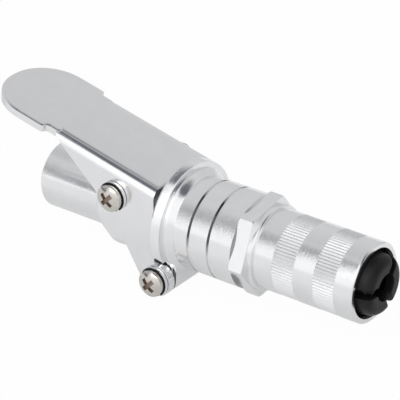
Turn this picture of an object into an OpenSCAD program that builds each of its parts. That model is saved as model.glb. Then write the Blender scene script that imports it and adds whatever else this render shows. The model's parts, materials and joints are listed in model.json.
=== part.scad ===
// Lock-on grease coupler. Its lever pushes the nose sleeve forward, off three sprung jaws.
// Millimetres. +X points out of the jaws, +Z points up to the lever, and the origin is the
// middle of the inlet's rear face. Every turned piece is drawn as a half section [radius, x].

/* [Rear body] */
// Radius of the rear cylinder
rear_r = 8.8; // [8.4:0.1:9.2]
// Length of the rear cylinder
rear_len = 17.9; // [16:0.1:19]
// Length of the cone up to the shoulder
cone_len = 5.7; // [4:0.1:7]
// Radius of the shoulder and of the barrel
barrel_r = 11.8; // [11.4:0.1:12.4]
// Front end of the shoulder
shoulder_end = 34; // [33:0.1:34.2]
// Radius of the tapped inlet
inlet_r = 4.3; // [4:0.05:4.6]
// Depth of the tapped inlet
inlet_depth = 11; // [9:0.5:12]
// Rounding of the outer rear edge
rear_chamfer = 0.6; // [0.2:0.1:1]

/* [Delivery tube] */
// Radius of the grease passage
passage_r = 1.75; // [1.4:0.05:2]
// Radius of the spigot in the rear body
spigot_r = 4.15; // [3.8:0.05:4.25]
// Radius of the neck that guides the barrel
neck_r = 6.5; // [6.2:0.1:6.7]
// Length of the neck
neck_len = 14.5; // [14:0.1:16]
// Radius of the tube behind the jaws
tube_r = 4.5; // [4.2:0.1:4.8]
// Radius of the threaded front end
tip_thread_r = 3; // [2.6:0.1:3.2]
// Wire radius of the round seal ring on the neck
o_ring_wire = 0.55; // [0.4:0.05:0.7]

/* [Check valve] */
// Rear face of the valve seat
seat_x = 13; // [12.5:0.1:14]
// Thickness of the valve seat
seat_t = 3; // [2.5:0.1:3.5]
// Radius of the ball
ball_r = 2.2; // [2:0.1:2.5]
// Radius of the hole that the ball closes
seat_hole_r = 1.4; // [1.2:0.05:1.5]
// Length of the room for the ball and its spring
valve_len = 8; // [7.5:0.1:9]
// Wire radius of the valve spring
check_wire = 0.25; // [0.2:0.05:0.35]

/* [Barrel and flange] */
// Rear face of the flange
flange_x = 39.6; // [39.3:0.1:40]
// Thickness of the flange rim
flange_t = 2.9; // [2.5:0.1:3.4]
// Radius of the flange
flange_r = 15.1; // [14.6:0.1:15.6]
// Radius of the step in front of the flange
step_r = 13.3; // [12.8:0.1:13.8]
// Length of the step in front of the flange
step_len = 1.3; // [1:0.1:1.6]
// Places of the two ring grooves
groove_x = [48.9, 54.7];
// Width of a ring groove
groove_w = 0.7; // [0.4:0.1:1]
// Depth of a ring groove
groove_d = 0.4; // [0.2:0.1:0.6]
// Radius of the boss behind the flange
boss_r = 9; // [8.6:0.1:9.2]
// Radius of the spring chamber
chamber_r = 9.3; // [9.1:0.1:9.5]
// Rear end of the spring chamber
chamber_x = 45; // [44.5:0.1:45.5]
// Wall left round the tapped front end
thread_wall = 1.35; // [1.2:0.05:1.5]
// Depth of the tapped front end
barrel_thread_len = 8.3; // [7.5:0.1:9]
// Front end of the barrel
barrel_end = 61.3; // [60.5:0.1:62]
// Outer radius of the guide bush
bush_r = 7.5; // [7.3:0.1:7.8]

/* [Nose sleeve] */
// Distance across the flats of the hexagon
hex_across = 22; // [21.5:0.1:22.5]
// Length of the hexagon
hex_len = 3.9; // [3.5:0.1:4.5]
// Turn of the hexagon about the axis
hex_turn = 8.5; // [0:0.5:59]
// Radius of the collar in front of the hexagon
collar_r = 10.8; // [10.5:0.1:11]
// Length of the collar
collar_len = 1.4; // [1:0.1:2]
// Outer radius of the sleeve
sleeve_r = 10; // [9.8:0.1:10.4]
// Front end of the sleeve
sleeve_end = 94.3; // [94:0.1:95]
// Radius of the sleeve's bore
sleeve_bore_r = 8.95; // [8.9:0.05:9.05]
// Radius of the narrow front of the bore
nose_bore_r = 8.2; // [8.1:0.05:8.3]
// Length of the narrow front of the bore
nose_len = 2.3; // [2:0.1:2.6]
// Start and end of the rear and front knurled bands
knurl_spans = [[72.0, 78.0], [83.5, 89.3]];
// Number of ridges in a knurled band
knurl_count = 80; // [60:4:96]
// Height of the knurled ridges
knurl_h = 0.25; // [0.15:0.05:0.35]

/* [Jaws] */
// Rear face of the jaws
jaw_x = 80.5; // [80.4:0.1:81]
// Front end of the jaws
jaw_end = 97.5; // [97:0.1:98]
// Length of the jaws' straight rear part
jaw_straight = 5.5; // [5:0.1:6]
// Outer radius of the jaws inside the sleeve
jaw_r = 8.7; // [8.5:0.05:8.75]
// Radius at the rounded front of the jaws
jaw_tip_r = 7.5; // [7.2:0.1:7.6]
// Radius of the mouth that grips a nipple
mouth_r = 3.4; // [3.2:0.05:3.6]
// Length of the gripping lip
lip_len = 2.2; // [1.8:0.1:2.6]
// Width of the slots between the jaws
jaw_slot = 2.2; // [1.8:0.1:2.6]
// Direction of the first jaw, from +Y towards +Z
jaw_turn = 115; // [0:1:119]
// Distance from the lips back to the rubber seal
seal_back = 1.8; // [1.5:0.1:2.2]
// Radius of the rubber nozzle seal
seal_r = 4.2; // [4:0.1:4.3]

/* [Lever] */
// Thickness of the sheet
sheet = 2; // [1.6:0.1:2.2]
// Outside width of the channel
lever_w = 24; // [24:0.1:25]
// Outside radius of the bends
bend_r = 2.4; // [2.2:0.1:3]
// Rise of the lever towards the rear, in degrees
lever_rise = 12.8; // [12:0.1:13.2]
// Height of the lever's top above the pivot
lever_top = 7.4; // [7.3:0.1:8]
// Gap between the lever's front end and the flange
front_gap = 0.7; // [0.5:0.1:1]
// Width of the thumb pad
pad_w = 24.4; // [23:0.1:26]
// Distance from the pivot to the pad's rear end, along the lever
pad_reach = 42.6; // [40:0.1:46]
// Corner radius of the pad's rear end
pad_round = 11.6; // [9:0.1:11.8]
// Rounding of the pad's front corners
pad_corner = 1; // [0.6:0.1:1.3]
// Distance from the pivot to the pad's front end, along the lever
pad_start = 22.6; // [22:0.1:24]
// Distance from the pivot to the channel's rear end, along the lever
channel_start = 19.4; // [18.5:0.1:20]
// Width of the neck between the pad and the channel
waist_w = 21.4; // [20:0.1:22]
// Edge left round the pivot hole
pivot_edge = 4.5; // [4:0.1:5]
// Radius of the lower tip round the link hole
link_edge = 4.2; // [4:0.1:4.4]
// Fall of the cheek's rear edge, in degrees
cheek_fall = 42.3; // [41:0.1:44]
// Fall of the cheek's lower edge, in degrees
cheek_drop = 58.8; // [57:0.1:60]

/* [Screws] */
// Place of the pivot screw
pivot = [26.9, 6.8];
// Place of the link screw
link = [39.4, -12.7];
// Radius of a screw's shank
screw_r = 2; // [1.9:0.05:2]
// Radius of a screw head
head_r = 3.4; // [3.2:0.1:3.6]
// Height of a screw head
head_h = 2.4; // [2.2:0.1:2.8]
// Radius of a spring washer
washer_r = 3.8; // [3.6:0.1:4]
// Thickness of a spring washer
washer_t = 1; // [0.8:0.1:1.2]
// Distance across the flats of a nut
nut_across = 7; // [6.8:0.1:7.4]
// Height of a nut
nut_h = 3.2; // [2.8:0.1:3.4]
// Rise of the link screw in its slot when the lever is pressed
link_rise = 3.05; // [3:0.05:3.2]

/* [Clearances] */
// Gap of a running fit, on the radius
run_gap = 0.06; // [0.03:0.01:0.09]
// Gap of a fixed fit, on the radius
seat_gap = 0.04; // [0.02:0.01:0.06]
// Gap between pieces that move past each other
move_gap = 0.3; // [0.2:0.05:0.4]

/* [Hidden] */

fine = 96;
over = 1;
far = 60;

// Stations along the axis
cone_end = rear_len + cone_len;
socket_r = spigot_r + seat_gap;
spigot_x = seat_x + seat_t + valve_len;
neck_end = shoulder_end + neck_len;
boss_x = shoulder_end + move_gap;
flange_front = flange_x + flange_t;
step_end = flange_front + step_len;
thread_x = barrel_end - barrel_thread_len;
barrel_thread_r = barrel_r - thread_wall;
hex_end = barrel_end + hex_len;
collar_end = hex_end + collar_len;
spring_end = 60;
collar_t = 2;
clip_t = 1;
clip_x = spring_end + collar_t;
clip_r = tube_r + 1.5;
clip_groove_r = tube_r - 0.5;
carrier_end = jaw_x - move_gap;
carrier_t = 4.2;
carrier_x = carrier_end - carrier_t;
bead_x = jaw_x + 2.1;
bead_t = 1.4;
bead_end = bead_x + bead_t;
backing_t = 1.2;
backing_end = bead_end + backing_t;
seal_end = jaw_end - lip_len - seal_back;

// Widths across the lever
cheek_out = lever_w / 2;
cheek_in = cheek_out - sheet;
flat_y = cheek_in - move_gap;
ear_y = cheek_in - 0.6;
lever_front = flange_x - front_gap;
screw_gap = 0.1;
washer_y = cheek_out + screw_gap;
head_y = washer_y + washer_t;
nut_y = washer_y;

// Points of a quarter round from angle a0 to a1, about [r, x]
function arc(r, x, radius, a0, a1, steps = 8) =
    [for (i = [0:steps]) let (a = a0 + (a1 - a0) * i / steps) [r + radius * cos(a), x + radius * sin(a)]];

// A solid turned about the X axis
module turned(profile) {
    rotate([0, 90, 0]) rotate_extrude($fn = fine) polygon(profile);
}

// A flat shape carried along the X axis, its own x pointing down and its y along Y
module along_x(x0, x1) {
    translate([x0, 0, 0]) rotate([0, 90, 0]) linear_extrude(x1 - x0) children();
}

// A round hole along the X axis
module hole_x(r, x0, x1) {
    translate([x0, 0, 0]) rotate([0, 90, 0]) cylinder(r = r, h = x1 - x0, $fn = fine);
}

// Puts a piece on a cross axis, its own z pointing to the head side
module across(place) {
    translate([place[0], 0, place[1]]) rotate([90, 0, 0]) children();
}

// A round hole right across the part
module cross_hole(place, r) {
    across(place) cylinder(r = r, h = 2 * far, center = true, $fn = fine);
}

// A closed ring of round wire about the X axis
module wire_ring(r, wire, x) {
    translate([x, 0, 0]) rotate([0, 90, 0]) rotate_extrude($fn = fine) translate([r, 0]) circle(r = wire, $fn = 24);
}

// Place of one point on a coil: turn angle a, corner angle c of the wire
function coil_point(r, wire, x, a, c) =
    [x + wire * sin(c), (r + wire * cos(c)) * cos(a), (r + wire * cos(c)) * sin(a)];

// A coil spring along the X axis with one closed turn at each end
module coil(r, wire, x0, x1, turns) {
    steps = 20;
    sides = 6;
    count = turns * steps;
    span = x1 - x0 - 4 * wire;
    pitch_share = 1 / (turns - 2);
    function along(i) = let (t = i / steps)
        t < 1 ? x0 + wire * t
        : t > turns - 1 ? x1 - wire * (turns - t)
        : x0 + wire + (x1 - x0 - 2 * wire) * (t - 1) * pitch_share;
    points = [for (i = [0:count], k = [0:sides - 1])
        coil_point(r, wire, along(i), 360 * i / steps, 360 * k / sides)];
    walls = [for (i = [0:count - 1], k = [0:sides - 1]) let (n = (k + 1) % sides)
        [i * sides + k, i * sides + n, (i + 1) * sides + n, (i + 1) * sides + k]];
    first = [for (k = [0:sides - 1]) sides - 1 - k];
    last = [for (k = [0:sides - 1]) count * sides + k];
    polyhedron(points, concat(walls, [first, last]));
}

// Rear body: tapped inlet, valve chamber, cone, shoulder and the two flats between the cheeks
module rear_body() {
    color("silver") difference() {
        turned([[0, 0], [rear_r - rear_chamfer, 0], [rear_r, rear_chamfer], [rear_r, rear_len],
            [barrel_r, cone_end], [barrel_r, shoulder_end], [0, shoulder_end]]);
        hole_x(inlet_r, -over, inlet_depth);
        hole_x(passage_r, 0, shoulder_end);
        hole_x(socket_r, seat_x, shoulder_end + over);
        for (side = [-1, 1]) {
            translate([rear_len, side > 0 ? flat_y : -flat_y - far, -far]) cube([far, far, 2 * far]);
        }
        in_lever() translate([-channel_start, -far, -sheet - 0.5]) cube([far, 2 * far, far]);
        cross_hole(pivot, screw_r + seat_gap);
    }
}

// Valve seat: a ring with a cone for the ball
module check_seat() {
    cone_x = seat_x + seat_t / 2;
    seat_end = seat_x + seat_t;
    color("darkgoldenrod") turned([[seat_hole_r, seat_x], [spigot_r, seat_x], [spigot_r, seat_end],
        [seat_hole_r + seat_end - cone_x, seat_end], [seat_hole_r, cone_x]]);
}

// Ball that stops grease from running back
ball_x = seat_x + seat_t / 2 - seat_hole_r + ball_r * sqrt(2) + seat_gap;
module check_ball() {
    color("gainsboro") translate([ball_x, 0, 0]) sphere(r = ball_r, $fn = 48);
}

// Light spring between the ball and the tube
module check_spring() {
    color("dimgray") coil(ball_r - 0.4, check_wire, ball_x + ball_r - 0.1, spigot_x - 2 * check_wire, 6);
}

// Delivery tube: spigot, guiding neck, slim tube and threaded front end
module delivery_tube() {
    ring_w = 2 * o_ring_wire + 0.3;
    ring_x = flange_x + 1;
    color("silver") difference() {
        turned([[passage_r, spigot_x], [spigot_r, spigot_x], [spigot_r, shoulder_end],
            [neck_r, shoulder_end], [neck_r, neck_end], [tube_r, neck_end], [tube_r, carrier_x],
            [tip_thread_r, carrier_x], [tip_thread_r, bead_end], [passage_r, bead_end]]);
        turned([[neck_r - 2 * o_ring_wire, ring_x - ring_w / 2], [neck_r + over, ring_x - ring_w / 2],
            [neck_r + over, ring_x + ring_w / 2], [neck_r - 2 * o_ring_wire, ring_x + ring_w / 2]]);
        turned([[clip_groove_r, clip_x], [tube_r + over, clip_x],
            [tube_r + over, clip_x + clip_t + seat_gap], [clip_groove_r, clip_x + clip_t + seat_gap]]);
    }
}

// Round rubber ring in the neck's groove
module neck_seal_ring() {
    color("black") wire_ring(neck_r - o_ring_wire, o_ring_wire - seat_gap, flange_x + 1);
}

// Ear under the flange, in the plane of the lever's side
module ear_outline() {
    translate(link) circle(r = link_edge, $fn = fine);
    translate([link[0] - link_edge, link[1]]) square([2 * link_edge, -link[1] - boss_r / 2]);
}

// Room in the flange for a cheek's tip and the link screw's washer and nut over their whole travel
module cheek_room() {
    room_r = link_edge + move_gap;
    for (rise = [0, link_rise]) {
        translate([link[0], link[1] + rise]) circle(r = room_r, $fn = fine);
    }
    translate([link[0] - room_r, link[1]]) square([2 * room_r, link_rise]);
}

// Barrel: boss, ear with its slot, flange with a pocket for each cheek, step and grooved cylinder
module barrel() {
    fillet = 0.6;
    slot_r = screw_r + 0.15;
    pocket_in = cheek_in - move_gap;
    color("silver") difference() {
        union() {
            turned(concat([[0, boss_x], [boss_r, boss_x], [boss_r, flange_x], [flange_r - fillet, flange_x]],
                arc(flange_r - fillet, flange_x + fillet, fillet, -90, 0, 4),
                arc(flange_r - fillet, flange_front - fillet, fillet, 0, 90, 4),
                [[step_r, flange_front], [step_r, step_end - (step_r - barrel_r) / 2],
                [barrel_r, step_end + (step_r - barrel_r) / 2], [barrel_r, barrel_end], [0, barrel_end]]));
            across([0, 0]) linear_extrude(2 * ear_y, center = true) ear_outline();
        }
        hole_x(bush_r + seat_gap, 0, chamber_x - over);
        hole_x(neck_r + 2 * run_gap, 0, chamber_x + over);
        hole_x(chamber_r, chamber_x, barrel_end);
        hole_x(barrel_thread_r, thread_x, barrel_end + over);
        for (x = groove_x) {
            turned([[barrel_r - groove_d, x - groove_w / 2], [barrel_r + over, x - groove_w / 2],
                [barrel_r + over, x + groove_w / 2], [barrel_r - groove_d, x + groove_w / 2]]);
        }
        for (side = [-1, 1]) {
            translate([0, side * (pocket_in + far / 2), 0]) across([0, 0])
                linear_extrude(far, center = true) cheek_room();
        }
        across([0, 0]) linear_extrude(2 * far, center = true) {
            for (rise = [0, link_rise]) {
                translate([link[0], link[1] + rise]) circle(r = slot_r, $fn = fine);
            }
            translate([link[0] - slot_r, link[1]]) square([2 * slot_r, link_rise]);
        }
    }
}

// Bronze bush that runs on the neck
module guide_bush() {
    color("darkgoldenrod") turned([[neck_r + run_gap, boss_x], [bush_r, boss_x],
        [bush_r, chamber_x - over], [neck_r + run_gap, chamber_x - over]]);
}

// Spring that pushes the barrel back and so closes the jaws
module main_spring() {
    wire = 0.85;
    r = (neck_r + sleeve_bore_r) / 2;
    color("dimgray") coil(r, wire, chamber_x + wire + seat_gap, spring_end - wire - seat_gap, 6);
}

// Collar on the tube that takes the spring's thrust
module spring_collar() {
    color("silver") turned([[tube_r + seat_gap, spring_end], [sleeve_bore_r - move_gap, spring_end],
        [sleeve_bore_r - move_gap, clip_x], [tube_r + seat_gap, clip_x]]);
}

// Split clip in the tube's groove, in front of the collar
module collar_clip() {
    color("dimgray") difference() {
        turned([[clip_groove_r + seat_gap, clip_x], [clip_r, clip_x],
            [clip_r, clip_x + clip_t], [clip_groove_r + seat_gap, clip_x + clip_t]]);
        translate([clip_x - over, -tip_thread_r, 0]) cube([clip_t + 2 * over, 2 * tip_thread_r, far]);
    }
}

// Outline of a knurled band: a ring of straight ridges, a hair lower than the plain bands
crest_r = sleeve_r - 0.05;
module knurl_outline() {
    polygon([for (i = [0:2 * knurl_count - 1]) let (a = 180 * i / knurl_count)
        (i % 2 == 0 ? crest_r : crest_r - knurl_h) * [cos(a), sin(a)]]);
}

// Nose sleeve: threaded tail, hexagon, collar and the knurled sleeve round the jaws
module nose_sleeve() {
    root_r = crest_r - knurl_h - 0.1;
    tail_r = barrel_thread_r - seat_gap;
    tail_x = thread_x + 1;
    edge = 0.4;
    ring_edge = 0.3;
    hex_r = hex_across / 2 / cos(30);
    hex_edge = hex_r - hex_across / 2;
    cone_x = jaw_x + jaw_straight;
    nose_x = sleeve_end - nose_len;
    mouth_len = 1.3;
    mouth_x = sleeve_end - mouth_len;
    flare = 0.55;
    color("silver") difference() {
        union() {
            turned([[0, tail_x], [tail_r, tail_x], [tail_r, barrel_end], [collar_r, barrel_end],
                [collar_r, collar_end - ring_edge], [collar_r - ring_edge, collar_end],
                [sleeve_r, collar_end], [sleeve_r, knurl_spans[0][0]], [root_r, knurl_spans[0][0]],
                [root_r, knurl_spans[0][1]], [sleeve_r, knurl_spans[0][1]], [sleeve_r, knurl_spans[1][0]],
                [root_r, knurl_spans[1][0]], [root_r, knurl_spans[1][1]], [sleeve_r, knurl_spans[1][1]],
                [sleeve_r, sleeve_end - edge], [sleeve_r - edge, sleeve_end], [0, sleeve_end]]);
            for (span = knurl_spans) {
                along_x(span[0], span[1]) knurl_outline();
            }
            intersection() {
                along_x(barrel_end, hex_end) rotate(hex_turn + 90) circle(r = hex_r, $fn = 6);
                turned([[0, barrel_end], [hex_r - hex_edge / 4, barrel_end], [hex_r, barrel_end + hex_edge / 6],
                    [hex_r, hex_end - hex_edge / 6], [hex_r - hex_edge / 4, hex_end], [0, hex_end]]);
            }
        }
        turned([[0, tail_x - over], [sleeve_bore_r, tail_x - over], [sleeve_bore_r, cone_x],
            [nose_bore_r, nose_x], [nose_bore_r, mouth_x], [nose_bore_r + flare, sleeve_end],
            [nose_bore_r + flare, sleeve_end + over], [0, sleeve_end + over]]);
    }
}

// Carrier on the tube: the jaws rock on its face and hook behind its bead
boss_bead_r = 5;
boss_stem_r = 4.4;
module jaw_carrier() {
    carrier_r = sleeve_bore_r - 0.1;
    color("gray") turned([[tip_thread_r + seat_gap, carrier_x], [carrier_r, carrier_x],
        [carrier_r, carrier_end], [boss_stem_r, carrier_end], [boss_stem_r, bead_x],
        [boss_bead_r, bead_x], [boss_bead_r, bead_end], [tip_thread_r + seat_gap, bead_end]]);
}

// Half section that all three jaws share
hook_end = bead_x - 0.6;
ring_groove_x = jaw_x + 2.4;
ring_groove_w = 2.1;
ring_wire = 0.55;
ring_floor_r = jaw_r - 1.55;
module jaw_section() {
    hook_r = boss_stem_r + 0.35;
    relief_r = boss_bead_r + 0.4;
    cavity_r = seal_r + 0.5;
    waist_x = jaw_x + jaw_straight;
    throat_x = sleeve_end - nose_len;
    throat_r = nose_bore_r - 0.15;
    nose_round = 2.4;
    lip_x = jaw_end - lip_len;
    turned(concat([[hook_r, jaw_x], [jaw_r, jaw_x], [jaw_r, ring_groove_x], [ring_floor_r, ring_groove_x],
        [ring_floor_r, ring_groove_x + ring_groove_w], [jaw_r, ring_groove_x + ring_groove_w],
        [jaw_r, waist_x], [throat_r, throat_x]],
        arc(jaw_tip_r - nose_round, jaw_end - nose_round, nose_round, 10, 90, 6),
        [[mouth_r, jaw_end], [mouth_r, lip_x], [cavity_r, lip_x - cavity_r + mouth_r], [cavity_r, waist_x],
        [relief_r, waist_x], [relief_r, hook_end], [hook_r, hook_end]]));
}

// One jaw: a third of the ring between two slots
module jaw(number) {
    spread = 60;
    apex = jaw_slot / 2 / sin(spread);
    color("black") intersection() {
        jaw_section();
        along_x(jaw_x - over, jaw_end + over) rotate(jaw_turn + 120 * number + 90)
            polygon([[apex, 0], [apex + far * cos(spread), far * sin(spread)],
                [2 * far, 0], [apex + far * cos(spread), -far * sin(spread)]]);
    }
}

// Sprung ring that draws the jaws together
module jaw_ring() {
    color("dimgray") wire_ring(ring_floor_r + move_gap + ring_wire, ring_wire, ring_groove_x + ring_groove_w / 2);
}

// Washer behind the rubber seal
module seal_backing() {
    color("darkgoldenrod") turned([[passage_r, bead_end], [seal_r, bead_end],
        [seal_r, backing_end], [passage_r, backing_end]]);
}

// Rubber seal that meets the nipple
module nozzle_seal() {
    cup = 1.2;
    color("black") turned([[passage_r, backing_end], [seal_r, backing_end], [seal_r, seal_end - cup],
        [seal_r - cup / 2, seal_end], [passage_r + cup, seal_end], [passage_r, seal_end - cup]]);
}

// Lever frame: x runs forward along the top, z stands on it, above the pivot
module in_lever() {
    translate([pivot[0], 0, pivot[1] + lever_top]) rotate([0, lever_rise, 0]) children();
}

// Where a line through p falling at angle a meets a line through q falling at angle b
function meet(p, a, q, b) = let (
    u = [cos(a), -sin(a)], v = [cos(b), -sin(b)],
    t = ((q[0] - p[0]) * v[1] - (q[1] - p[1]) * v[0]) / (u[0] * v[1] - u[1] * v[0]))
    p + t * u;

// Side view of the lever: the cheek and all that lies above it, in the plane X, Z
module cheek_outline() {
    heel = pivot + pivot_edge * [-sin(cheek_fall), -cos(cheek_fall)];
    tip = link + link_edge * [-sin(cheek_drop), -cos(cheek_drop)];
    knee = meet(heel, cheek_fall, tip, cheek_drop);
    back = knee - far * [cos(cheek_fall), -sin(cheek_fall)];
    polygon([back, knee, tip, link, [lever_front, link[1]], [lever_front, far]]);
    translate(link) circle(r = link_edge, $fn = fine);
}

// Cross section of the folded channel, its own x pointing down and its y across
module channel_section() {
    depth = far;
    in_r = bend_r - sheet;
    difference() {
        bent_box(cheek_out, bend_r, 0, depth);
        bent_box(cheek_in, in_r, sheet, depth + over);
    }
}

// A box open downwards with two round upper edges
module bent_box(half, r, top, depth) {
    translate([top + r, -half]) square([depth - top - r, 2 * half]);
    translate([top, -half + r]) square([depth - top, 2 * (half - r)]);
    for (side = [-1, 1]) {
        translate([top + r, side * (half - r)]) circle(r = r, $fn = fine);
    }
}

// Thumb pad and waist, seen from above
module pad_outline() {
    offset(r = pad_corner, $fn = fine) offset(r = -2 * pad_corner, $fn = fine) offset(r = pad_corner, $fn = fine) {
        for (side = [-1, 1]) {
            translate([-pad_reach + pad_round, side * (pad_w / 2 - pad_round)]) circle(r = pad_round, $fn = fine);
        }
        translate([-pad_reach, pad_round - pad_w / 2]) square([pad_reach - pad_start, pad_w - 2 * pad_round]);
        translate([-pad_reach + pad_round, -pad_w / 2]) square([pad_reach - pad_round - pad_start, pad_w]);
        translate([-pad_start - over, -waist_w / 2]) square([pad_start - channel_start + 2 * over, waist_w]);
    }
}

// Lever: one folded sheet with two cheeks, a waist and a thumb pad
module lever() {
    color("lightgray") difference() {
        union() {
            intersection() {
                in_lever() along_x(-channel_start, far) channel_section();
                across([0, 0]) linear_extrude(2 * far, center = true) cheek_outline();
            }
            in_lever() translate([0, 0, -sheet]) linear_extrude(sheet) pad_outline();
        }
        cross_hole(pivot, screw_r + run_gap);
        cross_hole(link, screw_r + seat_gap);
    }
}

// Screw with a domed head and a cross recess
module screw(place) {
    recess_w = 1.1;
    recess_l = 4;
    recess_d = 1;
    dome = 1.1;
    rim = head_h - dome;
    ball = (head_r * head_r + dome * dome) / (2 * dome);
    reach = asin(head_r / ball);
    color("tan") across(place) difference() {
        union() {
            translate([0, 0, -nut_y - nut_h - 1]) cylinder(r = screw_r, h = nut_y + nut_h + 1 + head_y + rim / 2, $fn = fine);
            translate([0, 0, head_y]) rotate_extrude($fn = fine) polygon(concat([[0, 0], [head_r, 0]],
                [for (i = [0:6]) let (a = reach * (1 - i / 6)) [ball * sin(a), rim + dome - ball + ball * cos(a)]]));
        }
        for (turn = [45, 135]) {
            rotate(turn) translate([-recess_l / 2, -recess_w / 2, head_y + head_h - recess_d])
                cube([recess_l, recess_w, recess_d + over]);
        }
    }
}

// Split spring washer under a head
module washer(place) {
    split_w = 0.6;
    color("tan") across(place) difference() {
        translate([0, 0, washer_y]) cylinder(r = washer_r, h = washer_t - seat_gap, $fn = fine);
        cylinder(r = screw_r + seat_gap, h = far, $fn = fine);
        rotate(-60) translate([0, -split_w / 2, 0]) cube([far, split_w, far]);
    }
}

// Hexagon nut on the far side
module nut(place) {
    nut_r = nut_across / 2 / cos(30);
    chamfer = 0.4;
    color("tan") across(place) difference() {
        intersection() {
            translate([0, 0, -nut_y - nut_h]) cylinder(r = nut_r, h = nut_h, $fn = 6);
            translate([0, 0, -nut_y - nut_h]) rotate_extrude($fn = fine) polygon([[0, 0],
                [nut_r - chamfer, 0], [nut_r, chamfer], [nut_r, nut_h - chamfer], [nut_r - chamfer, nut_h], [0, nut_h]]);
        }
        cylinder(r = screw_r + seat_gap, h = 2 * far, center = true, $fn = fine);
    }
}

module pivot_screw() { screw(pivot); }
module pivot_washer() { washer(pivot); }
module pivot_nut() { nut(pivot); }
module link_screw() { screw(link); }
module link_washer() { washer(link); }
module link_nut() { nut(link); }
module jaw_1() { jaw(0); }
module jaw_2() { jaw(1); }
module jaw_3() { jaw(2); }

rear_body();
check_seat();
check_ball();
check_spring();
delivery_tube();
neck_seal_ring();
barrel();
guide_bush();
main_spring();
spring_collar();
collar_clip();
nose_sleeve();
jaw_carrier();
jaw_1();
jaw_2();
jaw_3();
jaw_ring();
seal_backing();
nozzle_seal();
lever();
pivot_screw();
pivot_washer();
pivot_nut();
link_screw();
link_washer();
link_nut();
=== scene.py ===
"""Dresses a lock-on grease coupler: bright plated steel, black jaws, an inlet thread and a white studio."""
import json
import math

import bpy
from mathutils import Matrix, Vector

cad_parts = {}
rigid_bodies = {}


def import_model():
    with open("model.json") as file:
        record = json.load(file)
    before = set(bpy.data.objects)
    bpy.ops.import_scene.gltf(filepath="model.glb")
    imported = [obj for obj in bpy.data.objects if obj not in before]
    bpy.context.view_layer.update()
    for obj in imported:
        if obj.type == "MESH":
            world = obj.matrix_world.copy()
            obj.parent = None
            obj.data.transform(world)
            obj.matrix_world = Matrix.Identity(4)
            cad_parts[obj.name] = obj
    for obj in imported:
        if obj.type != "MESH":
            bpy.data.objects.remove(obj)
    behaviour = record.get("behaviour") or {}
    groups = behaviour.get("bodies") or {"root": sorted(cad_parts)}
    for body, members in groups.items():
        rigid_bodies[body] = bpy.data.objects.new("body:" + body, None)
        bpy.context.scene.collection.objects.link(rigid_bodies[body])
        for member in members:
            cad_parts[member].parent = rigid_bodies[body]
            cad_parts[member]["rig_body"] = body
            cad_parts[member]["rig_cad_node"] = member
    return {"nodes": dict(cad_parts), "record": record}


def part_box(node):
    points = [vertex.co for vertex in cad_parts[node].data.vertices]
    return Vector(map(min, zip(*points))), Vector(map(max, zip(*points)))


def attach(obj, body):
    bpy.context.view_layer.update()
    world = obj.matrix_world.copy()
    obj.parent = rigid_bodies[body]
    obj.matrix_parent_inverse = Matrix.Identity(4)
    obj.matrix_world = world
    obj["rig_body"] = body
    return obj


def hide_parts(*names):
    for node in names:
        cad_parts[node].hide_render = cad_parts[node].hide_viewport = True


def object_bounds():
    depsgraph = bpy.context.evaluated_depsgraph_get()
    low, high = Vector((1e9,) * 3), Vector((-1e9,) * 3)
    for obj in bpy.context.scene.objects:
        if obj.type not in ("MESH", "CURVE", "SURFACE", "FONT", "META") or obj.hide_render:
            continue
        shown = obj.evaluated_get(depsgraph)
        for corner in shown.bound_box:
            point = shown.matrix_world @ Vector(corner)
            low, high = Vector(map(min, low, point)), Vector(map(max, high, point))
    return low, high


bl_info = {
    "name": "Grease Coupler",
    "version": (1, 0, 0),
    "blender": (4, 5, 0),
    "location": "View3D > Sidebar > Coupler",
    "description": "Finishes the pieces of a lock-on grease coupler and sets its studio",
    "category": "Object",
}

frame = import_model()
CAD_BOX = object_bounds()
MM = 0.001
NODES = frame["nodes"]
BODY_OF = {node: body for body, nodes in frame["record"]["behaviour"]["bodies"].items() for node in nodes}
SLOT_OF = {part["node"]: part["material_slot"] for part in frame["record"]["subparts"]}
MOUNTS = {mount["name"]: mount for mount in frame["record"]["mounts"]}

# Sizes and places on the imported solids
INLET_R = MOUNTS["inlet"]["dims"]["r_mm"] * MM
INLET_DEPTH = MOUNTS["inlet"]["dims"]["length_mm"] * MM
BARREL_R = 11.8 * MM
BARREL_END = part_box("barrel")[1].x
GROOVES = (48.9 * MM, 54.7 * MM)
GROOVE_WIDTH = 0.7 * MM
FLANGE_START = 39.6 * MM
FLANGE_WIDTH = 2.9 * MM
FLANGE_RIM = 14.9 * MM
KNURLS = ((72.0 * MM, 78.0 * MM), (83.5 * MM, 89.3 * MM))
KNURL_ROOT = 9.4 * MM
CHEEK_OUT = 12 * MM
BEND_R = 2.4 * MM

# Reaches within which faces and vertices are picked
PICK_ROOM = 0.1 * MM
EDGE_REACH = 0.2 * MM
SEAM_REACH = 0.3 * MM
ON_FACE = 0.001 * MM
ON_BEND = 0.005 * MM

# Where painted shade lies on the barrel, in the grooves and the seam: depths under its surface, heights,
# and how far it thins out at either height
PAINTED_SHADE_DEPTHS = (0.25 * MM, 0.6 * MM)
GROOVE_SHADE_HEIGHTS = (0.5 * MM, 10.7 * MM)
SEAM_SHADE_HEIGHTS = (-9.5 * MM, 10.7 * MM)
THIN_BELOW = 2 * MM
THIN_ABOVE = 0.4 * MM

# Cross recess of a screw: share of the head's width, and depths from the head's top
RECESS_SHARE = 0.3
RECESS_FLOOR = 0.85 * MM
RECESS_END = 1.45 * MM

# Meshing
MERGE_REACH = 0.002 * MM
FLAT_ANGLE = math.radians(0.2)
SHARP_ANGLE = math.radians(32)
THREAD_STEPS = 48
THREAD_GAP = 0.02 * MM
THREAD_MERGE = 0.0001 * MM
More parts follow.
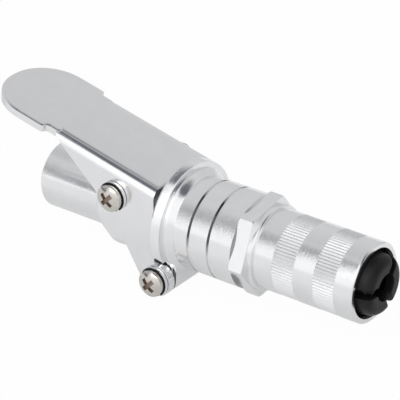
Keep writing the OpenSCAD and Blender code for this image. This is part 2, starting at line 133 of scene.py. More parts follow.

# Studio: its middle, the floor's painted shadow, shares of plain light seen and mirrored, and the light's
# bounces
WHITE = (1, 1, 1, 1)
STUDIO_X = 50 * MM
SHADE_REACH = (8 * MM, 40 * MM)
SHADE_LEVEL = 0.73
SEEN_SHARE = 0.97
MIRRORED_SHARE = 0.55
BOUNCES = 24


class CouplerFinish(bpy.types.PropertyGroup):
    """Colours and finishes of the coupler's pieces"""

    plate_colour: bpy.props.FloatVectorProperty(
        name="Plating", description="Colour of the bright zinc plate on the turned pieces",
        subtype="COLOR", size=3, default=(0.86, 0.865, 0.87), min=0, max=1)
    plate_roughness: bpy.props.FloatProperty(
        name="Plating roughness", description="Roughness of the turned and plated pieces",
        default=0.14, min=0, max=1, subtype="FACTOR")
    knurl_roughness: bpy.props.FloatProperty(
        name="Knurl roughness", description="Roughness of the knurled bands",
        default=0.3, min=0, max=1, subtype="FACTOR")
    thread_roughness: bpy.props.FloatProperty(
        name="Thread roughness", description="Roughness of the thread in the inlet",
        default=0.22, min=0, max=1, subtype="FACTOR")
    # Painted shade: the ring grooves are coloured dark over their upper part and light below
    groove_painted_shade: bpy.props.FloatVectorProperty(
        name="Groove oil", description="Colour of the oil in the barrel's ring grooves",
        subtype="COLOR", size=3, default=(0.1, 0.1, 0.1), min=0, max=1)
    # Painted shade: the barrel's front chamfer and face behind the hexagon are coloured darker, except at
    # the very bottom and top
    seam_painted_shade: bpy.props.FloatVectorProperty(
        name="Seam oil", description="Colour of the oil on the barrel's front face, behind the hexagon",
        subtype="COLOR", size=3, default=(0.36, 0.36, 0.36), min=0, max=1)
    lever_colour: bpy.props.FloatVectorProperty(
        name="Lever", description="Colour of the plated sheet of the lever",
        subtype="COLOR", size=3, default=(0.84, 0.845, 0.85), min=0, max=1)
    lever_roughness: bpy.props.FloatProperty(
        name="Lever roughness", description="Roughness of the lever's rolled sheet",
        default=0.17, min=0, max=1, subtype="FACTOR")
    screw_colour: bpy.props.FloatVectorProperty(
        name="Screws", description="Colour of the warm nickel plate on screws and nuts",
        subtype="COLOR", size=3, default=(0.66, 0.635, 0.595), min=0, max=1)
    # Painted shade: the walls and bottom of each screw's cross recess get this darker colour
    recess_shade_colour: bpy.props.FloatVectorProperty(
        name="Recess", description="Colour of the dull bottom of the cross recess",
        subtype="COLOR", size=3, default=(0.34, 0.27, 0.23), min=0, max=1)
    jaw_colour: bpy.props.FloatVectorProperty(
        name="Jaws", description="Colour of the black oxide on the jaws",
        subtype="COLOR", size=3, default=(0.007, 0.007, 0.0078), min=0, max=1)
    spring_colour: bpy.props.FloatVectorProperty(
        name="Springs", description="Colour of the oiled spring steel",
        subtype="COLOR", size=3, default=(0.35, 0.35, 0.36), min=0, max=1)
    bronze_colour: bpy.props.FloatVectorProperty(
        name="Bronze", description="Colour of the bush, valve seat and seal washer",
        subtype="COLOR", size=3, default=(0.72, 0.5, 0.25), min=0, max=1)
    rubber_colour: bpy.props.FloatVectorProperty(
        name="Rubber", description="Colour of the seals",
        subtype="COLOR", size=3, default=(0.02, 0.02, 0.02), min=0, max=1)


class CouplerSizes(bpy.types.PropertyGroup):
    """Sizes of what the dressing adds"""

    broken_edge: bpy.props.FloatProperty(
        name="Broken edge", description="Width of the rounding on turned edges",
        default=0.16 * MM, min=0, max=0.5 * MM, unit="LENGTH", precision=5)
    jaw_edge: bpy.props.FloatProperty(
        name="Jaw edge", description="Width of the rounding on the jaws' edges",
        default=0.256 * MM, min=0, max=0.5 * MM, unit="LENGTH", precision=5)
    seam_widening: bpy.props.FloatProperty(
        name="Seam widening", description="Width of the barrel's front chamfer, in broken edges",
        default=3.0, min=1, max=4)
    flange_fall: bpy.props.FloatProperty(
        name="Flange fall", description="Slope of the flange's rim towards the front",
        default=0.12, min=0, max=0.3)
    sheet_edge: bpy.props.FloatProperty(
        name="Sheet edge", description="Width of the rounding on the lever's sheared edges",
        default=0.4 * MM, min=0, max=0.8 * MM, unit="LENGTH", precision=5)
    roll_width: bpy.props.FloatProperty(
        name="Roll width", description="Width of the rolled rim on the lever's upper face",
        default=0.8 * MM, min=0.1 * MM, max=2 * MM, unit="LENGTH", precision=5)
    roll_depth: bpy.props.FloatProperty(
        name="Roll depth", description="How far the lever's rolled rim falls",
        default=0.2 * MM, min=0, max=0.5 * MM, unit="LENGTH", precision=5)
    thread_pitch: bpy.props.FloatProperty(
        name="Thread pitch", description="Pitch of the pipe thread in the inlet",
        default=0.907 * MM, min=0.5 * MM, max=2 * MM, unit="LENGTH", precision=5)
    thread_depth: bpy.props.FloatProperty(
        name="Thread depth", description="Height of the pipe thread in the inlet",
        default=0.5 * MM, min=0.2 * MM, max=1 * MM, unit="LENGTH", precision=5)


class CouplerStudio(bpy.types.PropertyGroup):
    """Camera, light and floor"""

    azimuth: bpy.props.FloatProperty(
        name="Azimuth", description="Camera's turn about the upright axis",
        default=math.radians(36.77), subtype="ANGLE")
    elevation: bpy.props.FloatProperty(
        name="Elevation", description="Camera's height above the horizon",
        default=math.radians(28.05), subtype="ANGLE")
    camera_place: bpy.props.FloatVectorProperty(
        name="Camera place", description="Where the camera stands",
        subtype="TRANSLATION", size=3, default=(0.31475, -0.36249, 0.24691))
    lens: bpy.props.FloatProperty(
        name="Lens", description="Focal length in millimetres",
        default=190.1, min=20, max=400)
    floor_size: bpy.props.FloatProperty(
        name="Floor size", description="Width of the pale floor",
        default=4.0, min=1, max=20, unit="LENGTH")
    floor_gap: bpy.props.FloatProperty(
        name="Floor gap", description="Room between the coupler's lowest point and the floor",
        default=0.2 * MM, min=0, max=10 * MM, unit="LENGTH", precision=5)
    light_level: bpy.props.FloatProperty(
        name="Light level", description="Strength of the room's soft light",
        default=1.1, min=0, max=4)


class Socket:
    """A shader socket that takes part in Python arithmetic"""

    def __init__(self, paint, socket):
        self.paint = paint
        self.socket = socket

    def _maths(self, operation, first, second):
        return self.paint.node("ShaderNodeMath", {"operation": operation}, {0: first, 1: second})

    def __add__(self, other):
        return self._maths("ADD", self, other)

    def __sub__(self, other):
        return self._maths("SUBTRACT", self, other)

    def __rsub__(self, other):
        return self._maths("SUBTRACT", other, self)

    def __mul__(self, other):
        return self._maths("MULTIPLY", self, other)

    def __truediv__(self, other):
        return self._maths("DIVIDE", self, other)

    def __pow__(self, other):
        return self._maths("POWER", self, other)

    __radd__ = __add__
    __rmul__ = __mul__


class Paint:
    """Builds one node tree from plain expressions"""

    def __init__(self, tree):
        self.tree = tree

    def node(self, kind, settings=None, inputs=None, output=0):
        """Adds a node, sets it, feeds its sockets and gives one of its outputs"""
        made = self.tree.nodes.new(kind)
        for name, value in (settings or {}).items():
            if name == "stops":
                self._set_stops(made.color_ramp, value)
            else:
                setattr(made, name, value)
        for key, value in (inputs or {}).items():
            self.put(made.inputs[key], value)
        return Socket(self, made.outputs[output])

    def put(self, socket, value):
        """Links a socket to another, or gives it a fixed value"""
        if isinstance(value, Socket):
            self.tree.links.new(value.socket, socket)
        else:
            socket.default_value = value

    def _set_stops(self, ramp, stops):
        while len(ramp.elements) > 1:
            ramp.elements.remove(ramp.elements[-1])
        ramp.elements[0].position = stops[0][0]
        ramp.elements[0].color = (*stops[0][1], 1)
        for place, colour in stops[1:]:
            ramp.elements.new(place).color = (*colour, 1)

    def parts(self, vector):
        """The x, y and z of a vector"""
        return [self.node("ShaderNodeSeparateXYZ", {}, {0: vector}, axis) for axis in range(3)]

    def place(self):
        """Object coordinates and their three parts"""
        point = self.node("ShaderNodeTexCoord", output="Object")
        return point, self.parts(point)

    def point(self, x, y, z):
        return self.node("ShaderNodeCombineXYZ", {}, {0: x, 1: y, 2: z})

    def noise(self, vector, scale, detail=3.0, roughness=0.5):
        return self.node("ShaderNodeTexNoise", {}, {
            "Vector": vector, "Scale": scale, "Detail": detail, "Roughness": roughness}, "Fac")

    def fade(self, value, start, end, first=0.0, last=1.0):
        """Runs from the first level to the last while a value goes from start to end"""
        return self.node("ShaderNodeMapRange", {}, {
            "Value": value, "From Min": start, "From Max": end, "To Min": first, "To Max": last})

    def blend(self, share, first, second):
        """Mixes two colours"""
        return self.node("ShaderNodeMix", {"data_type": "RGBA"}, {0: share, 6: first, 7: second}, 2)

    def bump(self, height, strength, distance):
        return self.node("ShaderNodeBump", {}, {
            "Height": height, "Strength": strength, "Distance": distance})


class Coat(Paint):
    """A new material, painted on the sockets of its one shader"""

    def __init__(self, name):
        self.material = bpy.data.materials.new(name)
        self.material.use_nodes = True
        super().__init__(self.material.node_tree)
        self.shader = self.tree.nodes["Principled BSDF"]

    def feed(self, values):
        """Sets or links the shader's sockets by their names"""
        for name, value in values.items():
            self.put(self.shader.inputs[name], value)

    def mottled(self, mask, colour, darkest, lightest):
        """A colour whose brightness follows a mask"""
        dark, light = [(*[channel * share for channel in colour], 1.0) for share in (darkest, lightest)]
        return self.blend(mask, dark, light)


def span(first, second):
    """Length of the vector with these two parts"""
    return (first * first + second * second) ** 0.5


def plated_steel(name, colour, roughness):
    """Bright zinc on turned steel: fine rings about the axis and a faint cloud in the plate"""
    coat = Coat(name)
    point, (x, y, z) = coat.place()
    rings = coat.noise(coat.point(x, span(y, z), 0.0), scale=5200.0, detail=5.0, roughness=0.65)
    cloud = coat.noise(point, scale=260.0, detail=4.0)
    orange_peel = coat.noise(point, scale=1900.0, detail=4.0, roughness=0.6)
    coat.feed({
        "Base Color": coat.mottled(cloud, colour, darkest=0.92, lightest=1.04),
        "Roughness": roughness - 0.07 + rings * 0.08 + cloud * 0.06,
        "Normal": coat.bump(orange_peel + rings * 0.25, strength=0.5, distance=0.04 * MM),
        "Metallic": 1.0,
    })
    return coat.material


def rolled_sheet(name, colour, roughness):
    """Zinc on rolled sheet: a soft grain along the lever and small clouds"""
    coat = Coat(name)
    point, (x, y, z) = coat.place()
    grain = coat.noise(coat.point(x * 0.05, y, z * 0.3), scale=2600.0, detail=5.0, roughness=0.6)
    cloud = coat.noise(point, scale=170.0, detail=5.0, roughness=0.6)
    orange_peel = coat.noise(point, scale=1100.0, detail=4.0, roughness=0.6)
    coat.feed({
        "Base Color": coat.mottled(cloud, colour, darkest=0.92, lightest=1.03),
        "Roughness": roughness - 0.08 + grain * 0.1 + cloud * 0.08,
        "Normal": coat.bump(orange_peel + grain * 0.4, strength=0.5, distance=0.03 * MM),
        "Metallic": 1.0,
    })
    return coat.material


def painted_shade_steel(name, oil, lowest, highest):
    """Bare steel with painted shade between two heights, thinning out slowly below and quickly above; the
    oil argument gives the painted shade's colour
    """
    coat = Coat(name)
    _, (_, _, z) = coat.place()
    below = coat.fade(z, lowest - THIN_BELOW, lowest + THIN_BELOW)
    above = coat.fade(z, highest + THIN_ABOVE, highest - THIN_ABOVE)
    coat.feed({
        "Base Color": coat.blend(below * above, (0.9, 0.9, 0.9, 1), (*oil, 1)),
        "Roughness": 0.35,
        "Metallic": 1.0,
    })
    return coat.material


def nickel_plate(name, colour, roughness):
    """Plate on small pressed hardware, a little uneven"""
    coat = Coat(name)
    point, _ = coat.place()
    fine = coat.noise(point, scale=3400.0, detail=4.0, roughness=0.6)
    cloud = coat.noise(point, scale=700.0)
    coat.feed({
        "Base Color": coat.mottled(cloud, colour, darkest=0.86, lightest=1.05),
        "Roughness": roughness + fine * 0.12,
        "Normal": coat.bump(fine, strength=0.08, distance=0.03 * MM),
        "Metallic": 1.0,
    })
    return coat.material


def black_oxide(name, colour):
    """Black oxide on hardened steel, with a thin film of oil"""
    coat = Coat(name)
    point, _ = coat.place()
    fine = coat.noise(point, scale=2600.0, detail=5.0, roughness=0.65)
    cloud = coat.noise(point, scale=420.0)
    coat.feed({
        "Base Color": coat.mottled(cloud, colour, darkest=0.7, lightest=1.5),
        "Roughness": 0.3 + fine * 0.12 + cloud * 0.1,
        "Normal": coat.bump(fine, strength=0.1, distance=0.03 * MM),
        "Specular IOR Level": 0.22,
    })
    return coat.material


def oiled_steel(name, colour):
    """Dark drawn wire and hardened inner pieces"""
    coat = Coat(name)
    point, _ = coat.place()
    drawn = coat.noise(point, scale=1900.0, detail=4.0, roughness=0.6)
    coat.feed({
        "Base Color": coat.mottled(drawn, colour, darkest=0.75, lightest=1.15),
        "Roughness": 0.26 + drawn * 0.16,
        "Metallic": 1.0,
    })
    return coat.material


def turned_bronze(name, colour):
    """Bronze with turning rings and a little tarnish"""
    coat = Coat(name)
    point, (x, y, z) = coat.place()
    rings = coat.noise(coat.point(x, span(y, z), 0.0), scale=4200.0, detail=4.0, roughness=0.6)
    tarnish = coat.noise(point, scale=380.0, detail=4.0)
    coat.feed({
        "Base Color": coat.mottled(tarnish, colour, darkest=0.7, lightest=1.1),
        "Roughness": 0.24 + rings * 0.16,
        "Normal": coat.bump(rings, strength=0.1, distance=0.03 * MM),
        "Metallic": 1.0,
    })
    return coat.material


def nitrile_rubber(name, colour):
    """Matt moulded rubber"""
    coat = Coat(name)
    point, _ = coat.place()
    skin = coat.noise(point, scale=3000.0, detail=4.0, roughness=0.6)
    coat.feed({
        "Base Color": coat.mottled(skin, colour, darkest=0.8, lightest=1.4),
        "Roughness": 0.52 + skin * 0.2,
        "Normal": coat.bump(skin, strength=0.15, distance=0.04 * MM),
    })
    return coat.material


def radius_of(point):
    """Distance of a point from the coupler's axis"""
    return math.hypot(point.y, point.z)


def take(piece):
    """Selects one object and nothing else"""
    bpy.ops.object.select_all(action="DESELECT")
    piece.select_set(True)
    bpy.context.view_layer.objects.active = piece


def finished_copy(node, edge, segments=2, shape=None):
    """A copy of a machined node, merged, shaped where asked and with broken edges, in the node's place"""
    take(NODES[node])
    bpy.ops.object.duplicate()
    piece = bpy.context.object
    piece.name = node + "_finished"
    bpy.ops.object.parent_clear(type="CLEAR")
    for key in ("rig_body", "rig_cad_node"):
        del piece[key]
    bpy.ops.mesh.customdata_custom_splitnormals_clear()
    bpy.ops.object.mode_set(mode="EDIT")
    bpy.ops.mesh.select_all(action="SELECT")
    bpy.ops.mesh.remove_doubles(threshold=MERGE_REACH)
    bpy.ops.mesh.dissolve_limited(angle_limit=FLAT_ANGLE)
    bpy.ops.object.mode_set(mode="OBJECT")
    if shape:
        shape(piece)
    bevel = piece.modifiers.new("broken_edges", "BEVEL")
    bevel.width = edge
    bevel.segments = segments
    bevel.limit_method = "ANGLE"
    bevel.angle_limit = SHARP_ANGLE
    bevel.harden_normals = False
    bpy.ops.object.modifier_apply(modifier=bevel.name)
    bpy.ops.object.shade_smooth_by_angle(angle=SHARP_ANGLE)
    even = piece.modifiers.new("even_shading", "WEIGHTED_NORMAL")
    even.mode = "FACE_AREA"
    even.weight = 100
    even.keep_sharp = True
    bpy.ops.object.modifier_apply(modifier=even.name)
    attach(piece, BODY_OF[node])
    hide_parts(node)
    return piece


def wear(piece, material):
    """Gives a piece one material"""
    piece.data.materials.clear()
    piece.data.materials.append(material)


def wear_in_part(piece, material, chosen):
    """Gives the faces that a test picks a further material"""
    piece.data.materials.append(material)
    last = len(piece.data.materials) - 1
    for face in piece.data.polygons:
        if chosen(face):
            face.material_index = last


class COUPLER_OT_turned_steel(bpy.types.Operator):
    """Breaks the edges of the turned pieces and plates them"""

    bl_idname = "coupler.turned_steel"
    bl_label = "Turned Steel"

    def execute(self, context):
        finish = context.scene.coupler_finish
        edge = context.scene.coupler_sizes.broken_edge
        material = plated_steel("bright_zinc", finish.plate_colour, finish.plate_roughness)
        wear(finished_copy("rear_body", edge), material)
        barrel = finished_copy("barrel", edge, shape=self.ease_flange)
        self.widen_seam(barrel)
        wear(barrel, material)
        # Painted shade in the ring grooves, dark over their upper part and light below
        groove_painted_shade = painted_shade_steel("groove_painted_shade", finish.groove_painted_shade, *GROOVE_SHADE_HEIGHTS)
        wear_in_part(barrel, groove_painted_shade, self.in_groove)
        # Painted shade in the seam between the barrel and the hexagon
        seam_painted_shade = painted_shade_steel("seam_painted_shade", finish.seam_painted_shade, *SEAM_SHADE_HEIGHTS)
        wear_in_part(barrel, seam_painted_shade, self.in_seam)
        sleeve = finished_copy("nose_sleeve", edge / 2, segments=1)
        wear(sleeve, material)
        knurl = plated_steel("knurled_zinc", finish.plate_colour, finish.knurl_roughness)
        wear_in_part(sleeve, knurl, self.in_knurl)
        for node in ("delivery_tube", "spring_collar"):
            wear(NODES[node], material)
        return {"FINISHED"}

    def ease_flange(self, barrel):
        """Lets the flange's rim fall a little towards the front"""
        slope = bpy.context.scene.coupler_sizes.flange_fall
        for vertex in barrel.data.vertices:
            ahead = vertex.co.x - FLANGE_START
            radius = radius_of(vertex.co)
            if 0 < ahead < FLANGE_WIDTH + PICK_ROOM and radius > FLANGE_RIM:
                eased = (radius - ahead * slope) / radius
                vertex.co = (vertex.co.x, vertex.co.y * eased, vertex.co.z * eased)

    def widen_seam(self, barrel):
        """Makes the barrel's broken front edge a chamfer that shows as a seam at the hexagon"""
        times = bpy.context.scene.coupler_sizes.seam_widening
        for vertex in barrel.data.vertices:
            radius = radius_of(vertex.co)
            behind = BARREL_END - vertex.co.x
            inward = BARREL_R - radius
            if behind < EDGE_REACH and inward < EDGE_REACH:
                wide = (BARREL_R - inward * times) / radius
                vertex.co = (BARREL_END - behind * times, vertex.co.y * wide, vertex.co.z * wide)

    def in_groove(self, face):
        """The two ring grooves"""
        shallowest, deepest = PAINTED_SHADE_DEPTHS
        near = any(abs(face.center.x - place) < GROOVE_WIDTH / 2 + PICK_ROOM for place in GROOVES)
        return near and shallowest < BARREL_R - radius_of(face.center) < deepest

    def in_seam(self, face):
        """The chamfer and the front face of the barrel, behind the hexagon"""
        forward = face.normal.x > 0.3
        return forward and face.center.x > BARREL_END - SEAM_REACH

    def in_knurl(self, face):
        """The ridges of the two knurled bands"""
        band = any(first < face.center.x < last for first, last in KNURLS)
        outward = abs(face.normal.x) < 0.5
        return band and outward and radius_of(face.center) > KNURL_ROOT


class COUPLER_OT_folded_lever(bpy.types.Operator):
    """Rounds the sheared edges of the lever and plates it"""

    bl_idname = "coupler.folded_lever"
    bl_label = "Folded Lever"

    def execute(self, context):
        finish = context.scene.coupler_finish
        edge = context.scene.coupler_sizes.sheet_edge
        material = rolled_sheet("plated_sheet", finish.lever_colour, finish.lever_roughness)
        wear(finished_copy("lever", edge, segments=3, shape=self.roll_rim), material)
        return {"FINISHED"}

    def roll_rim(self, piece):
        """Lowers the rim of the sheet's upper face, as shearing and folding roll it over"""
        sizes = bpy.context.scene.coupler_sizes
        mesh = piece.data
        for group in (mesh.vertices, mesh.edges, mesh.polygons):
            for part in group:
                part.select = False
        top = self.upper_face(mesh)
        middle, normal = top.center.copy(), top.normal.copy()
        top.select = True
        bpy.ops.object.mode_set(mode="EDIT")
        bpy.ops.mesh.select_mode(type="FACE")
        bpy.ops.mesh.inset(thickness=sizes.roll_width, depth=0.0)
        bpy.ops.mesh.select_mode(type="VERT")
        bpy.ops.object.mode_set(mode="OBJECT")
        flat = set(self.upper_face(mesh).vertices)
        for vertex in mesh.vertices:
            below = (middle - vertex.co).dot(normal)
            across = abs(vertex.co.y) - (CHEEK_OUT - BEND_R)
            bent = across >= 0 and abs(math.hypot(across, BEND_R - below) - BEND_R) < ON_BEND
            if vertex.index not in flat and (abs(below) < ON_FACE or bent):
                vertex.co -= normal * sizes.roll_depth * max(0.0, 1 - below / BEND_R)

    def upper_face(self, mesh):
        """The largest face that looks up"""
        return max(mesh.polygons, key=lambda face: face.area if face.normal.z > 0.8 else 0.0)


class COUPLER_OT_hardware(bpy.types.Operator):
    """Finishes the screws, their spring washers and the nuts"""

    bl_idname = "coupler.hardware"
    bl_label = "Screws and Nuts"

    def execute(self, context):
        finish = context.scene.coupler_finish
        edge = context.scene.coupler_sizes.broken_edge / 2
        nickel = nickel_plate("warm_nickel", finish.screw_colour, roughness=0.14)
        # Painted shade: the walls and bottom of the cross recess are coloured darker and browner
        dull = nickel_plate("recess_painted_shade", finish.recess_shade_colour, roughness=0.4)
        silver = nickel_plate("washer_steel", finish.plate_colour, roughness=0.2)
        # Painted shadow: the washer's face under the screw's head is coloured black
        shadow = black_oxide("washer_face", finish.jaw_colour)
        for place in ("pivot", "link"):
            screw = finished_copy(place + "_screw", edge)
            wear(screw, nickel)
            wear_in_part(screw, dull, self.recess_of(place + "_screw"))
            washer = finished_copy(place + "_washer", edge)
            wear(washer, silver)
            wear_in_part(washer, shadow, self.under_head)
            wear(finished_copy(place + "_nut", edge), nickel)
        return {"FINISHED"}

    def under_head(self, face):
        """The face of a washer that the screw's head presses on, painted black as the shadow under the head
        """
        return face.normal.y < -0.7

    def recess_of(self, node):
        """A test for the walls and the bottom of a screw's cross recess"""
        low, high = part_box(node)
        middle = (low + high) / 2
        reach = (high.x - low.x) * RECESS_SHARE

        def in_recess(face):
            near = math.hypot(face.center.x - middle.x, face.center.z - middle.z) < reach
            depth = face.center.y - low.y
            upright = abs(face.normal.y) < 0.5
            return near and depth < RECESS_END and (upright or depth > RECESS_FLOOR)

        return in_recess


class COUPLER_OT_jaws(bpy.types.Operator):
    """Rounds the three jaws and blackens them"""

    bl_idname = "coupler.jaws"
    bl_label = "Jaws"

    def execute(self, context):
        finish = context.scene.coupler_finish
        edge = context.scene.coupler_sizes.jaw_edge
        material = black_oxide("black_jaw", finish.jaw_colour)
        for number in (1, 2, 3):
            wear(finished_copy(f"jaw_{number}", edge, segments=3), material)
        return {"FINISHED"}


class COUPLER_OT_inner_pieces(bpy.types.Operator):
    """Finishes the springs, valve, bush and seals inside"""

    bl_idname = "coupler.inner_pieces"
    bl_label = "Inner Pieces"

    def execute(self, context):
        finish = context.scene.coupler_finish
        material_of = {
            "spring_steel": oiled_steel("oiled_steel", finish.spring_colour),
            "bronze": turned_bronze("turned_bronze", finish.bronze_colour),
            "rubber": nitrile_rubber("nitrile", finish.rubber_colour),
        }
        for node, piece in NODES.items():
            if SLOT_OF[node] in material_of:
                wear(piece, material_of[SLOT_OF[node]])
        return {"FINISHED"}


class COUPLER_OT_inlet_thread(bpy.types.Operator):
    """Adds the ridge of a pipe thread to the inlet's bore"""

    bl_idname = "coupler.inlet_thread"
    bl_label = "Inlet Thread"

    def execute(self, context):
        sizes = context.scene.coupler_sizes
        finish = context.scene.coupler_finish
        piece = self.ridge_section(sizes.thread_pitch, sizes.thread_depth)
        self.wind(piece, sizes.thread_pitch)
        self.close_ends()
        bpy.ops.object.shade_smooth_by_angle(angle=SHARP_ANGLE)
        wear(piece, plated_steel("cut_thread", finish.plate_colour, finish.thread_roughness))
        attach(piece, "stem")
        return {"FINISHED"}

    def ridge_section(self, pitch, depth):
        """A triangle with its foot a hair clear of the bore's wall, a little way in from the rear face"""
        bpy.ops.object.select_all(action="DESELECT")
        bpy.ops.mesh.primitive_circle_add(vertices=3, radius=pitch * 0.5, fill_type="NOTHING")
        piece = bpy.context.object
        piece.name = "inlet_thread"
        start = pitch * 0.7
        half = pitch * 0.46
        root = INLET_R - THREAD_GAP
        corners = ((root, -half), (root, half), (root - depth, 0.0))
        for vertex, (radius, along) in zip(piece.data.vertices, corners):
            vertex.co = (start + along, 0.0, radius)
        return piece

    def wind(self, piece, pitch):
        """Sweeps the section along the bore, leaving room at either end"""
        screw = piece.modifiers.new("helix", "SCREW")
        screw.axis = "X"
        screw.screw_offset = pitch
        screw.iterations = int((INLET_DEPTH - 2 * pitch) / pitch)
        screw.steps = THREAD_STEPS
        screw.render_steps = THREAD_STEPS
        screw.use_merge_vertices = False
        bpy.ops.object.modifier_apply(modifier=screw.name)

    def close_ends(self):
        """Merges the turns, fills both ends and points the faces outwards"""
        bpy.ops.object.mode_set(mode="EDIT")
        bpy.ops.mesh.select_all(action="SELECT")
        bpy.ops.mesh.remove_doubles(threshold=THREAD_MERGE)
        bpy.ops.mesh.select_all(action="DESELECT")
        bpy.ops.mesh.select_non_manifold()
        bpy.ops.mesh.fill_holes(sides=4)
        bpy.ops.mesh.select_all(action="SELECT")
        bpy.ops.mesh.normals_make_consistent(inside=False)
        bpy.ops.object.mode_set(mode="OBJECT")


def grey(level):
    """A wall's grey, a trace cool"""
    return (level, level, level * 1.01)


# Walls of the mirrored room: the front wall's foot is at 0, the ceiling at 0.5, the back wall's foot at 1
FRONT_FOOT = (0.0, grey(0.93))
FRONT_WALL = (0.08, grey(1.0))
BACK_FOOT = (1.0, grey(0.61))

# Towards the inlet: white, then a deep dark gap with a soft edge, then a grey ceiling
REAR_WALLS = (
    FRONT_FOOT, FRONT_WALL, (0.284, grey(1.0)),
    (0.3, (0.02, 0.025, 0.045)), (0.342, (0.04, 0.05, 0.075)), (0.374, grey(0.38)),
    (0.42, grey(0.57)), (0.5, grey(0.62)), (0.6, grey(0.65)), (0.8, grey(0.64)), BACK_FOOT)

# Square to the axis: white up to a dark ceiling, then grey
SIDE_WALLS = (
    FRONT_FOOT, FRONT_WALL, (0.42, grey(1.0)),
    (0.47, (0.11, 0.115, 0.14)), (0.62, (0.15, 0.155, 0.18)), (0.7, grey(0.42)),
    (0.745, grey(0.62)), (0.8, grey(0.67)), BACK_FOOT)

# Towards the jaws: white that falls to grey without a gap
AHEAD_WALLS = (FRONT_FOOT, FRONT_WALL, (0.38, grey(0.95)), (0.5, grey(0.68)), BACK_FOOT)

# Leans towards the inlet over which one wall gives way to the next, and the rear gap's shift over its lean
TO_REAR = (0.41, 0.48)
TO_SIDE = (-0.22, -0.08)
FAR_AHEAD = (-0.65, -0.85)
SHIFT_LEAN = (0.4, 0.8)
REAR_SHIFT = (-0.1, 0.266)


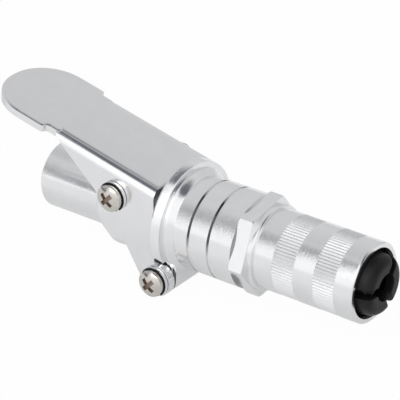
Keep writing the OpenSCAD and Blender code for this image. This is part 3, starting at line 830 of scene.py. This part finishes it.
class COUPLER_OT_stage(bpy.types.Operator):
    """Sets the pale floor, the soft light and the camera"""

    bl_idname = "coupler.stage"
    bl_label = "Studio"

    def execute(self, context):
        studio = context.scene.coupler_studio
        self.lay_floor(studio)
        self.light_room(context.scene, studio)
        self.place_camera(context.scene, studio)
        context.scene.view_settings.view_transform = "Standard"
        context.scene.cycles.max_bounces = BOUNCES
        context.scene.cycles.glossy_bounces = BOUNCES
        return {"FINISHED"}

    def lay_floor(self, studio):
        """A pale floor that reads as white, keeps a faint shadow and, in what the metal mirrors, has a
        painted shadow below the coupler
        """
        bpy.ops.object.select_all(action="DESELECT")
        low = CAD_BOX[0].z - studio.floor_gap
        bpy.ops.mesh.primitive_plane_add(size=studio.floor_size, location=(STUDIO_X, 0, low))
        floor = bpy.context.object
        floor.name = "studio_floor"
        coat = Coat("pale_floor")
        coat.feed({"Base Color": (0.86, 0.86, 0.86, 1), "Roughness": 0.9})
        _, (_, y, _) = coat.place()
        # Painted shadow: the floor's mirrored light darkens towards the coupler's axis
        shade = coat.fade((y * y) ** 0.5, *SHADE_REACH, first=SHADE_LEVEL)
        pale = self.glow(coat, coat.blend(shade, (0, 0, 0, 1), (1.0, 1.0, 1.005, 1)))
        white = self.glow(coat, WHITE)
        body = Socket(coat, coat.shader.outputs[0])
        to_camera = coat.node("ShaderNodeLightPath", output="Is Camera Ray")
        to_mirror = coat.node("ShaderNodeLightPath", output="Is Glossy Ray")
        seen = coat.node("ShaderNodeMixShader", {}, {0: to_camera * SEEN_SHARE, 1: body, 2: white})
        mirrored = coat.node("ShaderNodeMixShader", {}, {0: to_mirror * MIRRORED_SHARE, 1: seen, 2: pale})
        coat.put(coat.tree.nodes["Material Output"].inputs["Surface"], mirrored)
        wear(floor, coat.material)

    def glow(self, coat, colour):
        """Light of a colour, at full strength"""
        return coat.node("ShaderNodeEmission", {}, {"Color": colour, "Strength": 1.0})

    def light_room(self, scene, studio):
        """A room that the camera sees as white, and the metal as bright walls and dark gaps"""
        world = bpy.data.worlds.new("white_room")
        scene.world = world
        world.use_nodes = True
        paint = Paint(world.node_tree)
        to_camera = paint.node("ShaderNodeLightPath", output="Is Camera Ray")
        background = world.node_tree.nodes["Background"]
        paint.put(background.inputs["Color"], paint.blend(to_camera, self.walls(paint), WHITE))
        background.inputs["Strength"].default_value = studio.light_level
        self.add_light("front_softbox", place=(STUDIO_X, -0.55, 0.45), size=0.5, power=1.0)

    def walls(self, paint):
        """The room's colour by a direction's turn about the axis and its lean towards the inlet"""
        along, across, height = paint.parts(paint.node("ShaderNodeTexCoord", output="Generated"))
        angle = paint.node("ShaderNodeMath", {"operation": "ARCTAN2"}, {0: height, 1: 0.0 - across})
        turn = angle / math.pi
        lean = (0.0 - along) / span(across, height)
        shift = paint.fade(lean, *SHIFT_LEAN, *REAR_SHIFT)
        rear = paint.node("ShaderNodeValToRGB", {"stops": REAR_WALLS}, {0: turn + shift})
        side = paint.node("ShaderNodeValToRGB", {"stops": SIDE_WALLS}, {0: turn})
        ahead = paint.node("ShaderNodeValToRGB", {"stops": AHEAD_WALLS}, {0: turn})
        beside = paint.fade(lean, *TO_SIDE) + paint.fade(lean, *FAR_AHEAD)
        return paint.blend(paint.fade(lean, *TO_REAR), paint.blend(beside, ahead, side), rear)

    def add_light(self, name, place, size, power):
        """A square soft light that faces the coupler"""
        bpy.ops.object.light_add(type="AREA", location=place)
        lamp = bpy.context.object
        lamp.name = name
        lamp.data.size = size
        lamp.data.energy = power
        middle = (CAD_BOX[0] + CAD_BOX[1]) / 2
        lamp.rotation_mode = "QUATERNION"
        lamp.rotation_quaternion = (middle - Vector(place)).to_track_quat("-Z", "Y")

    def place_camera(self, scene, studio):
        """The camera stands where the photograph was taken"""
        bpy.ops.object.camera_add(location=studio.camera_place)
        camera = bpy.context.object
        camera.name = "photo_camera"
        level = math.cos(studio.elevation)
        back = Vector((
            math.sin(studio.azimuth) * level,
            -math.cos(studio.azimuth) * level,
            math.sin(studio.elevation)))
        camera.rotation_mode = "QUATERNION"
        camera.rotation_quaternion = (-back).to_track_quat("-Z", "Y")
        camera.data.lens = studio.lens
        camera.data.sensor_width = 36.0
        camera.data.clip_start = 0.01
        camera.data.clip_end = 50.0
        scene.camera = camera


class COUPLER_PT_panel(bpy.types.Panel):
    """Lists the coupler's steps"""

    bl_idname = "COUPLER_PT_panel"
    bl_label = "Grease Coupler"
    bl_space_type = "VIEW_3D"
    bl_region_type = "UI"
    bl_category = "Coupler"

    def draw(self, context):
        for operator in OPERATORS:
            self.layout.operator(operator.bl_idname)
        for group in GROUPS:
            box = self.layout.box()
            values = getattr(context.scene, group)
            for name in values.__annotations__:
                box.prop(values, name)


OPERATORS = (
    COUPLER_OT_turned_steel,
    COUPLER_OT_folded_lever,
    COUPLER_OT_hardware,
    COUPLER_OT_jaws,
    COUPLER_OT_inner_pieces,
    COUPLER_OT_inlet_thread,
    COUPLER_OT_stage,
)
GROUPS = {
    "coupler_finish": CouplerFinish,
    "coupler_sizes": CouplerSizes,
    "coupler_studio": CouplerStudio,
}


def register():
    for part in (*GROUPS.values(), *OPERATORS, COUPLER_PT_panel):
        bpy.utils.register_class(part)
    for name, group in GROUPS.items():
        setattr(bpy.types.Scene, name, bpy.props.PointerProperty(type=group))


def unregister():
    for name in GROUPS:
        delattr(bpy.types.Scene, name)
    for part in (COUPLER_PT_panel, *reversed(OPERATORS), *reversed(GROUPS.values())):
        bpy.utils.unregister_class(part)


def main():
    register()
    bpy.ops.coupler.turned_steel()
    bpy.ops.coupler.folded_lever()
    bpy.ops.coupler.hardware()
    bpy.ops.coupler.jaws()
    bpy.ops.coupler.inner_pieces()
    bpy.ops.coupler.inlet_thread()
    bpy.ops.coupler.stage()


if __name__ == "__main__":
    main()
